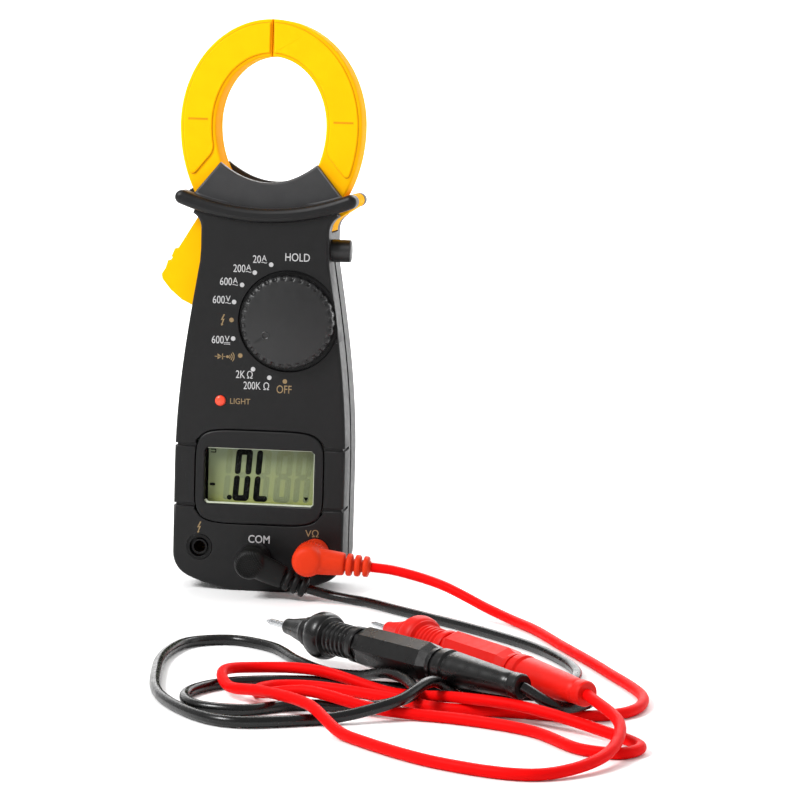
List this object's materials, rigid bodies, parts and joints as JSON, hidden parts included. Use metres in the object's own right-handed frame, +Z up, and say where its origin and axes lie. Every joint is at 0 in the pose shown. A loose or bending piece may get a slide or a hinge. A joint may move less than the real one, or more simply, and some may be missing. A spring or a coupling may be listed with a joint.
{
  "type": "clamp meter",
  "caption": "Hand-held clamp meter on its foot: opening sprung jaws, range dial, recessed display and front jacks, with corded test probes lying before it.",
  "frame": {"origin": "on the supporting surface, under the middle of the case's thickness and on its centre line", "axes": "+Z up towards the jaws, -Y out of the display's face, +X to the right as seen from the front"},
  "size_m": [0.1801, 0.289, 0.2],
  "materials": {
    "case_black": "fine satin grain",
    "clear_window": "clear gloss",
    "display_glass": "smooth",
    "grey_plastic": "satin",
    "rubber_grey": "matt",
    "board_green": "solder mask",
    "battery_jacket": "gloss",
    "steel": "bright plated",
    "jack_black": "smooth",
    "brass": "satin",
    "jaw_yellow": "fine satin grain",
    "core_steel": "laminated edge",
    "winding": "enamelled wire",
    "knob_black": "satin",
    "button_red": "smooth",
    "plug_black": "satin",
    "plug_red": "satin",
    "cord_black": "glossy",
    "cord_red": "glossy",
    "probe_black": "semi-gloss",
    "probe_red": "semi-gloss"
  },
  "bodies": {
    "housing": {"front_shell": "case_black", "rear_shell": "case_black", "display_bezel": "case_black", "display_window": "clear_window", "lcd_glass": "display_glass", "lcd_frame": "grey_plastic", "contact_strips": "rubber_grey", "main_board": "board_green", "buzzer": "case_black", "battery_cells": "battery_jacket", "battery_contacts": "steel", "battery_springs": "steel", "battery_cover": "case_black", "cover_screw": "steel", "case_screws": "steel", "jack_bushes": "jack_black", "jack_sleeves": "brass", "fixed_jaw_front": "jaw_yellow", "fixed_jaw_rear": "jaw_yellow", "fixed_core": "core_steel", "core_winding": "winding", "jaw_pivot_pin": "steel", "jaw_spring": "steel", "hold_switch": "jack_black", "light_switch": "jack_black", "black_plug_body": "plug_black", "black_plug_pin": "steel", "black_strain_relief": "plug_black", "black_cord": "cord_black", "black_probe_tail": "probe_black", "black_probe_handle": "probe_black", "black_probe_guard": "probe_black", "black_probe_tip": "steel", "red_plug_body": "plug_red", "red_plug_pin": "steel", "red_strain_relief": "plug_red", "red_cord": "cord_red", "red_probe_tail": "probe_red", "red_probe_handle": "probe_red", "red_probe_guard": "probe_red", "red_probe_tip": "steel"},
    "moving_jaw": {"moving_jaw_front": "jaw_yellow", "moving_jaw_rear": "jaw_yellow", "moving_core": "core_steel"},
    "dial": {"dial_knob": "knob_black", "dial_rotor": "grey_plastic", "dial_wipers": "brass"},
    "hold_button": {"hold_button": "knob_black"},
    "light_button": {"light_button": "button_red"}
  },
  "joints": [
    {"name": "jaw_open", "type": "hinge", "parent": "housing", "child": "moving_jaw", "pos_m": [-0.017, 0, 0.131], "axis": [0, -1, 0], "range_deg": [0, 22], "stiffness_Nm_per_rad": 0.6, "springref_deg": -34.38, "deforming": ["jaw_spring"]},
    {"name": "dial_turn", "type": "hinge", "parent": "housing", "child": "dial", "pos_m": [0.009, 0, 0.0956], "axis": [0, -1, 0], "range_deg": [-108, 54]},
    {"name": "hold_press", "type": "slide", "parent": "housing", "child": "hold_button", "axis": [-1, 0, 0], "range_m": [0, 0.0025], "stiffness_N_per_m": 600, "springref_m": -0.001},
    {"name": "light_press", "type": "slide", "parent": "housing", "child": "light_button", "axis": [0, 1, 0], "range_m": [0, 0.0006], "stiffness_N_per_m": 1500, "springref_m": -0.0005}
  ]
}
